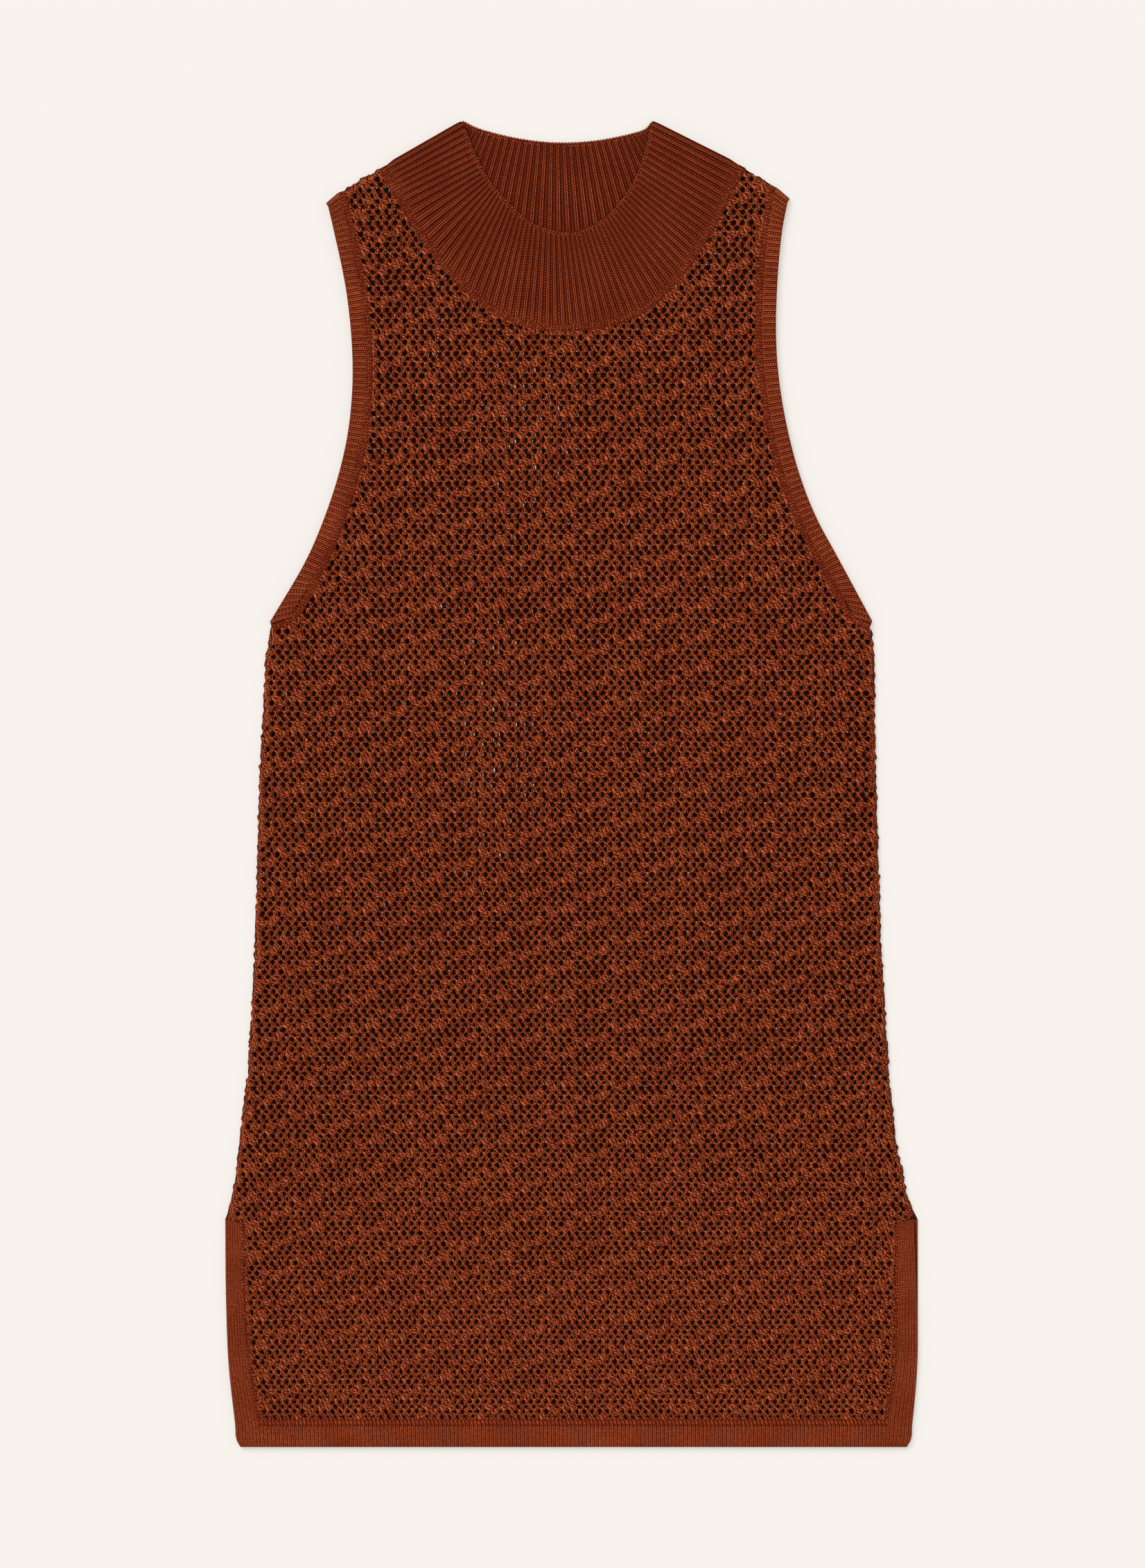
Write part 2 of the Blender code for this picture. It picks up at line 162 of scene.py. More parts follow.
def yarn(name, relief, wales, runs, sway, courses, top, even):
    """Knitted yarn, as runs of it up the cloth that repeat after so many wales. With d the distance in
    wales from a run's middle, it stands as the root of 1 - (d / half_width)^2, and dips between its
    stitches by "bead" of a cosine of the courses, which slant with d. The highest run shows, lightest
    from the height "top" up and dark low down beside it: painted shade between the stitches, and on
    the crests partly the yarn's own tone and partly a painted highlight. The yarn's crepe lowers it here
    and there to its share "even". An attribute of painted shade darkens it further: in an eyelet, in a
    groove and on the inner faces."""
    made = bpy.data.materials.new(name)
    made.use_nodes = True
    made.node_tree.nodes.clear()
    place = add(made, "TexCoord", {}, out="Object")
    stitch = add(made, "UVMap", {}, uv_map="knit")
    scale = 1 / (UNEVEN_SIZE * MM)
    uneven = add(made, "TexNoise", {"Vector": place, "Scale": scale, "Detail": 2.0}, out="Color")
    uneven = add(made, "VectorMath", {0: uneven, 1: (0.5, 0.5, 0.5)}, operation="SUBTRACT")
    stitch = add(
        made, "VectorMath", {0: uneven, 1: (*sway, 0.0), 2: stitch}, operation="MULTIPLY_ADD"
    )
    wale = add(made, "SeparateXYZ", {0: stitch}, out="X")
    row = add(made, "SeparateXYZ", {0: stitch}, out="Y")
    course = add(made, "Math", {0: row, 1: courses}, operation="MULTIPLY")
    height = 0.0
    for line in runs:
        run = dict(zip(RUN, line))
        away = add(made, "Math", {0: wale, 1: run["middle"]}, operation="SUBTRACT")
        away = add(made, "Math", {0: away, 1: wales / 2, 2: -wales / 2}, operation="WRAP")
        turn = add(made, "Math", {0: away, 1: run["slant"], 2: course}, operation="MULTIPLY_ADD")
        start = {0: turn, 1: 2 * np.pi, 2: 2 * np.pi * run["start"]}
        turn = add(made, "Math", start, operation="MULTIPLY_ADD")
        turn = add(made, "Math", {0: turn}, operation="COSINE")
        dips = {0: turn, 1: run["bead"] / 2, 2: 1 - run["bead"] / 2}
        dips = add(made, "Math", dips, operation="MULTIPLY_ADD")
        strand = add(made, "Math", {0: away, 1: 1 / run["half_width"]}, operation="MULTIPLY")
        strand = add(made, "Math", {0: strand, 1: strand}, operation="MULTIPLY")
        strand = add(made, "Math", {0: 1.0, 1: strand}, operation="SUBTRACT", use_clamp=True)
        strand = add(made, "Math", {0: strand, 1: 0.5}, operation="POWER")
        strand = add(made, "Math", {0: strand, 1: run["level"]}, operation="MULTIPLY")
        strand = add(made, "Math", {0: strand, 1: dips}, operation="MULTIPLY")
        height = add(made, "Math", {0: strand, 1: height}, operation="MAXIMUM")
    scale = 1 / (CREPE_SIZE * MM)
    crepe = add(made, "TexNoise", {"Vector": place, "Scale": scale, "Detail": 2.0})
    crepe = add(made, "MapRange", {"Value": crepe, "From Min": 0.35, "From Max": 0.65, "To Min": even})
    height = add(made, "Math", {0: crepe, 1: height}, operation="MULTIPLY")
    # The tone follows the height: painted shade low between the stitches, and on the crests the yarn's own
    # light tone with a painted highlight.
    tone = add(made, "MapRange", {"Value": height, "From Max": top})
    scale = 1 / (PATCH_SIZE * MM)
    patch = add(made, "TexNoise", {"Vector": place, "Scale": scale, "Detail": 3.0})
    patch = add(made, "MapRange", {"Value": patch, "To Min": 0.75, "To Max": 1.25})
    tone = add(made, "Math", {0: tone, 1: patch}, operation="MULTIPLY", use_clamp=True)
    low = add(made, "MapRange", {"Value": tone, "From Max": 0.5})
    shades = {0: low, 6: linear(YARN_DARK), 7: linear(YARN_MIDDLE)}
    low = add(made, "Mix", shades, out=2, data_type="RGBA")
    high = add(made, "MapRange", {"Value": tone, "From Min": 0.5})
    colour = add(made, "Mix", {0: high, 6: low, 7: linear(YARN_LIGHT)}, out=2, data_type="RGBA")
    # Painted shade: the attribute darkens the colour towards YARN_SHADE.
    painted_shade = add(made, "Attribute", {}, out="Fac", attribute_name="painted_shade")
    colour = add(made, "Mix", {0: painted_shade, 6: colour, 7: linear(YARN_SHADE)}, out=2, data_type="RGBA")
    bump = add(made, "Bump", {"Height": height, "Distance": relief * MM, "Strength": 1.0})
    surface = add(
        made,
        "BsdfPrincipled",
        {
            "Base Color": colour,
            "Normal": bump,
            "Roughness": 0.5,
            "Specular IOR Level": 0.11,
            "Specular Tint": linear("D98A6A"),
            "Sheen Weight": 0.02,
            "Sheen Roughness": 0.4,
            "Sheen Tint": linear("D98A6A"),
        },
    )
    add(made, "OutputMaterial", {"Surface": surface})
    return made


def wale_width(height):
    """Width of a wale at a height, read straight between the gauge's lines."""
    return np.interp(height, gauge["height"], gauge["wale"])


def wave(wale):
    """Rise of a row across a repeat: a sine with one period in 16 wales."""
    return WAVE * np.sin(2 * np.pi * wale / REPEAT_WALES)


def plan_of(wale, row):
    """Plan of a stitch: its height is that of its row plus the wave, and its x is the count of wales
    from the middle one times their width there. Rows of eyelets lie to the left and right in turn."""
    height = np.interp(row, fine_row, fine_height) + wave(wale)
    across = wale - MIDDLE_WALE - STAGGER * np.cos(np.pi * row)
    return np.stack([across * wale_width(height), height], axis=-1)


def stitch_of(plan):
    """The wale and row at points of the plan: plan_of turned round, but for the stagger."""
    wale = MIDDLE_WALE + plan[..., 0] / wale_width(plan[..., 1])
    return np.stack([wale, np.interp(plan[..., 1] - wave(wale), fine_height, fine_row)], axis=-1)


def outline_of(node, plane):
    """The edges all round a panel's inner face: those that only one triangle in that plane has."""
    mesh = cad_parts[node].data
    points = np.empty(len(mesh.vertices) * 3)
    mesh.vertices.foreach_get("co", points)
    points = points.reshape(-1, 3) / MM
    corners = np.empty(len(mesh.loops), int)
    mesh.loops.foreach_get("vertex_index", corners)
    corners = corners.reshape(-1, 3)
    corners = corners[(np.abs(points[corners, 2] - plane) < 0.02).all(axis=1)]
    places, same = np.unique(np.round(points[:, :2], 2), axis=0, return_inverse=True)
    corners = same.reshape(-1)[corners]
    ends = np.sort(np.concatenate([corners[:, [0, 1]], corners[:, [1, 2]], corners[:, [2, 0]]]), 1)
    edges, uses = np.unique(ends, axis=0, return_counts=True)
    return places[edges[uses == 1]] + (0.0, HALF_LENGTH)


def nearest(points, edges):
    """Distance from each point to each edge, and the nearest point on it: the foot of the
    perpendicular, held between the edge's ends."""
    along = edges[:, 1] - edges[:, 0]
    share = ((points[:, None] - edges[:, 0]) * along).sum(-1) / (along**2).sum(-1)
    feet = edges[:, 0] + np.clip(share, 0, 1)[..., None] * along
    return np.linalg.norm(points[:, None] - feet, axis=-1), feet


def inside(points, edges):
    """Whether each point is inside the outline: a line to its right crosses an odd number of edges."""
    low, high = edges[:, 0], edges[:, 1]
    x, y = points[:, :1], points[:, 1:]
    spans = (low[:, 1] > y) != (high[:, 1] > y)
    rise = np.where(high[:, 1] == low[:, 1], 1.0, high[:, 1] - low[:, 1])
    crossing = low[:, 0] + (y - low[:, 1]) / rise * (high[:, 0] - low[:, 0])
    return (spans & (crossing > x)).sum(axis=1) % 2 == 1


def knitted(name, points, quads, stitch, painted_shade, material):
    """A mesh piece from points in plan millimetres and rows of four corners, of which -1 stands for
    none. The wale and row at each corner are its UV map "knit", and an attribute at each point says
    how much painted shade it gets, deep in an eyelet or a groove."""
    real = quads >= 0
    sides = real.sum(axis=1)
    used, corners = np.unique(quads[real], return_inverse=True)
    corners = corners.reshape(-1)
    mesh = bpy.data.meshes.new(name)
    mesh.vertices.add(len(used))
    mesh.vertices.foreach_set("co", ((points[used] - (0.0, HALF_LENGTH, 0.0)) * MM).ravel())
    mesh.loops.add(len(corners))
    mesh.loops.foreach_set("vertex_index", corners)
    mesh.polygons.add(len(quads))
    mesh.polygons.foreach_set("loop_start", np.cumsum(sides) - sides)
    mesh.update(calc_edges=True)
    mesh.uv_layers.new(name="knit").data.foreach_set("uv", stitch[real].ravel())
    mesh.attributes.new("painted_shade", "FLOAT", "POINT").data.foreach_set("value", painted_shade[used])
    mesh.materials.append(material)
    mesh.shade_smooth()
    piece = bpy.data.objects.new(name, mesh)
    bpy.context.scene.collection.objects.link(piece)
    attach(piece, "root")
    return piece


openwork_yarn = yarn("openwork crepe yarn", 0.5, 2, OPEN_RUNS, (1.0, 0.6), 1.75, 0.44, 0.28)


def openwork(node, plane, outside, lattice_shift, seed):
    """A panel's net. Its knots are the corners of bricks two wales wide and a row high, pushed towards
    a honeycomb, on the outside and again on the inside. A brick with an eyelet has a ring of faces from
    its outer knots to the hole's rim, and another down to its inner knots. The others are filled. Two
    strips, from the net's rims to the outline's nearest points, close the edge."""
    chance = np.random.default_rng(seed)
    edges = outline_of(node, plane)
    up = 1.0 if outside > plane else -1.0
    wale, row = np.meshgrid(np.arange(*WALES_DRAWN), np.arange(*ROWS_DRAWN), indexing="ij")
    crown = np.where((wale + row + lattice_shift) % 2 == 0, HONEYCOMB, -HONEYCOMB)

    def laid(wale, row):
        """Plan of a stitch where the panel lies, the back one dragged in places."""
        plan = plan_of(wale, row)
        for x, height, half_width, half_height in SHOWN_THROUGH:
            far = ((plan[..., 0] - x) / half_width) ** 2 + ((plan[..., 1] - height) / half_height) ** 2
            plan[..., 0] += lattice_shift * DRAG * wale_width(height) * np.exp(-(far**2))
        return plan

    knots = laid(wale, row + 0.5 + crown).reshape(-1, 2)
    knots += chance.normal(0, UNEVEN["knot"], knots.shape)
    away, _ = nearest(knots, edges)
    kept = (inside(knots, edges) & (away.min(axis=1) > EDGE)).reshape(wale.shape)
    cell = kept[:-1, :-1] & kept[1:, :-1] & kept[:-1, 1:] & kept[1:, 1:]

    # Side seams and shoulders are turned under. Along the other edges the net starts a little further
    # in: by a band's linking, past the hem's border, or close beside a vent.
    middle = edges.mean(axis=1)
    left_end, right_end = SHOULDER_ENDS
    turned = (middle[:, 1] > VENT_END) & (middle[:, 1] < UNDERARM)
    turned |= (middle[:, 1] > SHOULDER) & ((middle[:, 0] < left_end) | (middle[:, 0] > right_end))
    plain = np.where(middle[:, 1] > HEM_TOP, NET_START["vent"], NET_START["hem"])
    plain = np.where(middle[:, 1] > UNDERARM, NET_START["band"], plain)
    plain = np.where(turned, 0.0, plain)

    index = np.arange(wale.size).reshape(wale.shape)
    both = np.zeros_like(cell)
    both[1:] = cell[:-1] & cell[1:]
    centred = (wale[:-1, :-1] + row[:-1, :-1] + 1 + lattice_shift) % 2 == 0
    chart = np.array([list(line) for line in CHART])
    chart_row = (-row[:-1, :-1] - 1) % len(CHART)
    kind = chart[chart_row, (wale[:-1, :-1] + lattice_shift) % REPEAT_WALES // 2]
    i, j = np.nonzero(both & centred & (kind != "."))
    centre = laid(wale[i, j], row[i, j] + 1.0)
    room, _ = nearest(centre, edges)
    clear = (room - plain).min(axis=1) > EYELET_ROOM
    i, j, centre = i[clear], j[clear], centre[clear]
    holed = np.zeros_like(cell)
    holed[i, j] = holed[i - 1, j] = True

    brick = ((-1, 0), (0, 0), (1, 0), (1, 1), (0, 1), (-1, 1))
    around = np.stack([index[i + di, j + dj] for di, dj in brick], axis=1)
    size = np.array([EYELET[word] for word in kind[i, j]])
    size *= np.interp(centre[:, 1], *EYELET_GROWTH)[:, None]
    size *= chance.normal(1, UNEVEN["size"], size.shape)
    size[:, 0] *= 1 - BACK_NARROW * lattice_shift
    tallest = TALLEST * np.interp(centre[:, 1], gauge["height"], gauge["row"])
    size[:, 1] = np.minimum(size[:, 1], tallest)
    lean = LEAN_WAVE * np.sin(2 * np.pi * wale[i, j] / REPEAT_WALES)
    lean = lean + chance.normal(LEAN, UNEVEN["lean"], len(i))
    across = np.array([-1, 0, 1, 1, 0, -1])
    along = np.array([-0.45, -1, -0.45, 0.45, 1, 0.45])
    rim = np.stack([size[:, :1] * across - lean[:, None] * along, size[:, 1:] * along], axis=-1)
    rim_plan = centre[:, None] + rim + chance.normal(0, UNEVEN["rim"], rim.shape)

    # Heights: the net's crest, its inner face, an eyelet's rim, and the outline's edge.
    stepped = np.abs(middle[:, 1] - VENT_STEP) < 2
    drop = np.where(stepped, EDGE_DROP["vent step"], EDGE_DROP["linked"])
    drop = np.where(turned, EDGE_DROP["turned"], drop)
    round_off = np.clip(1 - away / ROUND_OFF, 0, 1)
    sink = (drop * (1 - np.sqrt(1 - round_off**2))).max(axis=1)
    crest = outside - up * (sink + np.abs(chance.normal(0, UNEVEN["crest"], len(knots))))
    inner = np.full(len(knots), plane)
    rim_height = np.full(6 * len(i), outside - up * RIM_DROP)

    # The strips from the net's rims to the outline.
    padded = np.pad(cell, 1)
    here = padded[1:-1, 1:-1]
    strips, strip_row = [], []
    for beside, first, second in (
        (padded[1:-1, :-2], (0, 0), (1, 0)),
        (padded[1:-1, 2:], (1, 1), (0, 1)),
        (padded[:-2, 1:-1], (0, 1), (0, 0)),
        (padded[2:, 1:-1], (1, 0), (1, 1)),
    ):
        m, n = np.nonzero(here & ~beside)
        ends = [index[m + first[0], n + first[1]], index[m + second[0], n + second[1]]]
        strips.append(np.stack(ends, axis=1))
        strip_row.append(n)
    strip, strip_row = np.concatenate(strips), np.concatenate(strip_row)
    border, strip_of = np.unique(strip, return_inverse=True)
    strip_of = strip_of.reshape(-1, 2)
    away_there, feet = nearest(knots[border], edges)
    closest = away_there.argmin(axis=1)
    foot = feet[np.arange(len(border)), closest]
    outward = foot - knots[border]
    outward /= np.linalg.norm(outward, axis=1, keepdims=True)
    bulge = SCALLOP * np.cos(np.pi * row.ravel()[border])
    bulge = bulge + chance.normal(SCALLOP_MEAN, UNEVEN["edge"], len(border))
    scallop = np.where(turned[closest], bulge, SEAM_GAP)
    foot = foot + outward * scallop[:, None]
    corners = np.unique(edges.reshape(-1, 2), axis=0)
    claims = np.linalg.norm(foot[:, None] - corners, axis=-1).argmin(axis=0)
    foot[claims] = corners
    foot_z = outside - up * drop[closest]

    # Points: outer knots, eyelets' rims, inner knots, the outline. Then rows of four for the faces.
    counts = np.cumsum([0, len(knots), 6 * len(i), len(knots), len(border)])
    plan = np.concatenate([knots, rim_plan.reshape(-1, 2), knots, foot])
    height = np.concatenate([crest, rim_height, inner, foot_z])
    # Painted shade: none on the crest, some at an eyelet's rim, full on the inner faces, which lie in the
    # garment's shade, and a little along the outline. Knots get more where eyelets are missed out.
    painted_shade = np.repeat([0.0, RIM_SHADE, 1.0, EDGE_SHADE], np.diff(counts))
    touching = np.bincount(around.ravel(), minlength=len(knots))
    painted_shade[: len(knots)] = PLAIN_SHADE * np.minimum(2 - touching / 1.5, 1)
    rim_index = counts[1] + np.arange(6 * len(i)).reshape(-1, 6)
    after = np.roll(np.arange(6), -1)
    rings = np.stack([around, around[:, after], rim_index[:, after], rim_index], axis=-1)
    under = around + counts[2]
    walls = np.stack([rim_index, rim_index[:, after], under[:, after], under], axis=-1)
    m, n = np.nonzero(cell & ~holed)
    filled = np.stack([index[m, n], index[m + 1, n], index[m + 1, n + 1], index[m, n + 1]], axis=-1)
    rim_of_net = counts[3] + strip_of
    outer_strip = np.stack([strip[:, 1], strip[:, 0], rim_of_net[:, 0], rim_of_net[:, 1]], axis=-1)
    inner_strip = np.stack([strip[:, 0], strip[:, 1], rim_of_net[:, 1], rim_of_net[:, 0]], axis=-1)
    inner_strip[:, :2] += counts[2]

    # The halves meet between two rows, and a wall closes each of them there.
    split = np.searchsorted(row[0], np.interp(SPLIT_HEIGHT, fine_height, fine_row))
    (k,) = np.nonzero(cell[:, split - 1] & cell[:, split])
    top = np.stack([index[k, split], index[k + 1, split]], axis=-1)
    wall = np.concatenate([top, top[:, ::-1] + counts[2]], axis=-1)
    start, end = index[[k[0], k[-1] + 1], split]
    start_foot, end_foot = counts[3] + np.searchsorted(border, (start, end))
    cap = np.array([(start_foot, start, start + counts[2], -1), (end, end_foot, end + counts[2], -1)])
    faces = (
        (rings.reshape(-1, 4), np.repeat(j, 6)),
        (walls.reshape(-1, 4), np.repeat(j, 6)),
        (filled, n),
        (filled[:, ::-1] + counts[2], n),
        (outer_strip, strip_row),
        (inner_strip, strip_row),
        (wall, np.full(len(k), split - 1)),
        (wall[:, ::-1], np.full(len(k), split)),
        (cap, np.full(2, split - 1)),
        (cap[:, ::-1], np.full(2, split)),
    )
    quads = np.concatenate([face for face, _ in faces])
    upper = np.concatenate([at for _, at in faces]) >= split
    if up < 0:
        quads = quads[:, ::-1]
    points = np.column_stack([plan, height])

    # Round an eyelet the wales part as about a slit, so its rim keeps the stitches of a narrower one.
    slit = (centre[:, None] + SLIT * rim).reshape(-1, 2)
    stitch = stitch_of(np.concatenate([knots, slit, knots, foot]))
    swing = ZIGZAG * np.sign(crown).ravel()
    stitch[: len(knots), 0] += swing
    stitch[counts[2] : counts[3], 0] += swing
    stitch = stitch[quads]
    halves = []
    for part, mask in (("upper", upper), ("lower", ~upper)):
        piece = knitted(f"{node}_{part}", points, quads[mask], stitch[mask], painted_shade, openwork_yarn)
        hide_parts(node)
        halves.append(piece)
    return halves


front_upper, front_lower = openwork("front_panel", FRONT_INSIDE, FRONT_OUTSIDE, 0, 11)
back_upper, back_lower = openwork("back_panel", BACK_INSIDE, BACK_OUTSIDE, 1, 23)

# The neckband: one tube of 1x1 rib, linked on all round and cast off along its free edge. Laid flat it
# is pressed double, with the back of it showing inside the front's edge.
RIB_ROW = ("rib", "seam_x", "seam_height", "edge_x", "edge_height")  # mm, from one fold to the other
FRONT_NECK = (
    (0, -109.4, 752.7, -64.8, 779.3),
    (6.5, -97.6, 731.1, -54.0, 753.9),
    (16, -65.8, 687.5, -40.6, 734.6),
    (24, -32.4, 663.8, -24.0, 719.4),
    (32, 4.3, 659.7, -2.3, 712.9),
    (41, 43.0, 671.2, 17.9, 720.7),
    (46.5, 62.6, 690.7, 27.6, 730.1),
    (54, 81.3, 719.2, 39.1, 748.4),
    (62, 98.8, 753.1, 47.9, 779.6),
)
BACK_NECK = (
    (0, -109.4, 752.7, -64.8, 779.3),
    (7, -71.0, 727.0, -51.8, 773.6),
    (13, -40.5, 715.9, -30.0, 768.4),
    (19, -7.5, 711.6, -8.2, 766.2),
    (25, 26.2, 714.9, 13.8, 767.3),
    (31, 58.0, 725.6, 35.0, 771.4),
    (36, 84.0, 741.5, 44.4, 775.0),
    (39, 98.8, 753.1, 47.9, 779.6),
)
NECK_WALL = 2.5  # mm, at the top of a rib
NECK_GROOVE = 1.1  # mm, how deep the purl wales lie between the ribs
NECK_SHADE = 0.32  # painted shade in the grooves
INSIDE_SHADE = 0.12  # painted shade added on a band's inner face
RIB_COLUMNS = 8  # points across a rib
RIB_PROFILE = (  # across a rib: the smooth left leg of its knit stitches, the right leg, the purl wale
    (-0.5, 0.0),
    (-0.375, 0.3),
    (-0.25, 0.88),
    (-0.125, 1.0),
    (0.0, 0.66),
    (0.125, 0.86),
    (0.25, 0.76),
    (0.375, 0.22),
    (0.5, 0.0),
)
FOLD_RIBS = 2.5  # ribs round each fold; the half sets ridges inside over grooves outside
RIB_LEVELS = (0.0, 0.015, 0.05, 0.12, 0.25, 0.4, 0.55, 0.7, 0.84, 0.94, 0.98, 1.0)
RIB_EDGE = (1.0, 1.0, 1.0, 1.0, 1.0, 1.0, 1.0, 1.0, 1.0, 0.97, 0.86, 0.6)  # share of the wall there
GROOVES_FULL = RIB_LEVELS[3]  # the level from which the grooves have their full depth
INSIDE_GROOVE = 0.7  # share of that depth on the inner face
PANEL_WALL = 1.6
FOLD_ROOM = 0.15  # mm, half the room left inside a fold
COURSE = 1.5  # mm, from one course to the next

rib_yarn = yarn("rib crepe yarn", 0.45, 2, RIB_RUNS, (0.1, 0.15), 2.0, 1.06, 0.72)


def smooth(key, values, at):
    """Values between their keys, on the cubic through each pair whose slopes are those of the values
    next to them (Hermite's)."""
    slope = np.gradient(values, key, axis=0)
    low = np.clip(np.searchsorted(key, at, side="right") - 1, 0, len(key) - 2)
    span = (key[low + 1] - key[low])[:, None]
    u = (at - key[low])[:, None] / span
    start = (1 + 2 * u) * (1 - u) ** 2 * values[low] + u * (1 - u) ** 2 * span * slope[low]
    end = u**2 * (3 - 2 * u) * values[low + 1] + u**2 * (u - 1) * span * slope[low + 1]
    return start + end


def unit(vectors):
    """Vectors divided by their lengths."""
    return vectors / np.linalg.norm(vectors, axis=-1, keepdims=True)


def turned_left(vectors):
    """Plan vectors turned a quarter to the left: (x, y) becomes (-y, x)."""
    return np.stack([-vectors[..., 1], vectors[..., 0]], axis=-1)


def rib_points(table):
    """A band table's ribs, and the plan of the seam and the free edge at each."""
    band = columns(RIB_ROW, table)
    seam = np.column_stack([band["seam_x"], band["seam_height"]])
    edge = np.column_stack([band["edge_x"], band["edge_height"]])
    return band["rib"], np.stack([seam, edge], axis=1)


def rails(table, count, wall):
    """A band layer's seam and free edge in plan, at count even steps of its ribs. Its ends are drawn in
    by half the fold's thickness, which bends there."""
    ribs, points = rib_points(table)
    half = np.array([FRONT_OUTSIDE, FRONT_INSIDE - PANEL_WALL + 2 * wall]) / 2
    middle = points.mean(axis=(0, 1))
    for end in (0, -1):
        seam, edge = points[end]
        outward = turned_left(unit(edge - seam))
        points[end] -= half[:, None] * outward * np.sign(np.dot(seam - middle, outward))
    at = np.linspace(0, ribs[-1], count + 1)
    return at, smooth(ribs, points.reshape(-1, 4), at).reshape(-1, 2, 2)


def grid_piece(name, points, stitch, painted_shade, closed, material):
    """A mesh piece on a grid of points, one row of them after another. A closed grid joins its last
    column and its last row to the first ones, and stitch has one more of each."""
    rows, columns = points.shape[:2]
    r, c = np.meshgrid(np.arange(rows - 1 + closed), np.arange(columns - 1 + closed), indexing="ij")
    r, c = r.ravel()[:, None], c.ravel()[:, None]
    down, over = np.array([0, 0, 1, 1]), np.array([0, 1, 1, 0])
    quads = (r + down) % rows * columns + (c + over) % columns
    return knitted(name, points.reshape(-1, 3), quads, stitch[r + down, c + over], painted_shade.ravel(), material)


def folded_band(name, front, back, wall, groove, shade, fold_ribs, material):
    """A rib tube pressed flat. A point's place is its level from the seam to the free edge and its rib
    round the tube: front layer, fold, back layer, fold. Each fold is a half turn between the layers'
    heights. The ribs' profile then lowers each face along its own normal, and the inner face's ridges
    lie over the outer face's grooves."""
    front_ribs, front_rails = front
    back_ribs, back_rails = back
    level = np.array(RIB_LEVELS)[:, None]
    full = np.clip(level / GROOVES_FULL, 0, 1)
    swell = full * (wall - PANEL_WALL)
    thick = (PANEL_WALL + swell) * np.array(RIB_EDGE)[:, None]
    steps = int(fold_ribs * RIB_COLUMNS)
    angle = np.linspace(np.pi / 2, -np.pi / 2, steps + 1)[1:-1]

    def plan(rail):
        return rail[None, :, 0] + level[:, :, None] * (rail[:, 1] - rail[:, 0])[None]

    over, under = plan(front_rails), plan(back_rails)
    middle = over.mean(axis=(0, 1))
    flat = np.ones(len(level))[:, None, None]

    def ring(high, low, room):
        """One face right round the tube, and its outward normals."""
        turns = []
        for end in (-1, 0):
            outward = turned_left(unit(over[-1, end] - over[0, end]))
            outward = outward * np.sign(np.dot(over[0, end] - middle, outward))
            turn = angle if end else angle[::-1]
            reach = (high - low) / 2 if room is None else room + 0 * high
            sides = over[:, end, None] + (reach * np.cos(turn))[:, :, None] * outward
            height = (high + low) / 2 + (high - low) / 2 * np.sin(turn)
            normal = np.column_stack([np.cos(turn)[:, None] * outward, np.sin(turn)])[None] * flat
            turns.append((np.dstack([sides, height]), normal))
        up = np.zeros(over.shape[:2] + (3,)) + (0, 0, 1)
        down = np.zeros(under.shape[:2] + (3,)) - (0, 0, 1)
        top = np.dstack([over, high + np.zeros(over.shape[:2])])
        foot = np.dstack([under, low + np.zeros(under.shape[:2])])[:, ::-1]
        place = np.concatenate([top, turns[0][0], foot, turns[1][0]], axis=1)
        return place, np.concatenate([up, turns[0][1], down, turns[1][1]], axis=1)

    fold = np.arange(1, steps) / RIB_COLUMNS
    back_span = back_ribs[-1]
    rib = np.concatenate(
        [
            front_ribs,
            front_ribs[-1] + fold,
            front_ribs[-1] + fold_ribs + back_ribs,
            front_ribs[-1] + fold_ribs + back_span + fold,
        ]
    )
    across, height_of = np.array(RIB_PROFILE).T
    outer = 1 - np.interp(rib - np.round(rib), across, height_of)
    inner = 1 - np.interp(rib + 0.5 - np.round(rib + 0.5), across, height_of)
    foot = FRONT_INSIDE + swell
    outside, normal = ring(foot + thick, np.zeros_like(thick), None)
    outside = outside - normal * (groove * outer * full)[:, :, None]
    inside, normal = ring(foot, thick, FOLD_ROOM)
    inside = inside + normal * (INSIDE_GROOVE * groove * inner * full)[:, :, None]

    width = np.linalg.norm(over[-1] - over[0], axis=-1).mean()
    rib = np.append(rib, front_ribs[-1] + back_span + 2 * fold_ribs)
    course = level * width / (2 * COURSE)
    stitch = [
        np.stack([2 * rib + 0 * course, course + 0 * rib], axis=-1),
        np.stack([2 * rib + 1 + 0 * course, course + 0 * rib], axis=-1)[::-1],
    ]
    stitch = np.concatenate(stitch + [stitch[0][:1]])
    # Painted shade in the grooves, and more all over the inner face.
    painted_shade = np.concatenate([shade * outer * full, (INSIDE_SHADE + shade * inner * full)[::-1]])
    points = np.concatenate([outside, inside[::-1]])
    piece = grid_piece(name + "_knit", points, stitch, painted_shade, True, material)
    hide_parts(name)
    return piece


neckband = folded_band(
    "neckband",
    rails(FRONT_NECK, FRONT_NECK[-1][0] * RIB_COLUMNS, NECK_WALL),
    rails(BACK_NECK, BACK_NECK[-1][0] * RIB_COLUMNS, NECK_WALL),
    NECK_WALL,
    NECK_GROOVE,
    NECK_SHADE,
    FOLD_RIBS,
    rib_yarn,
)

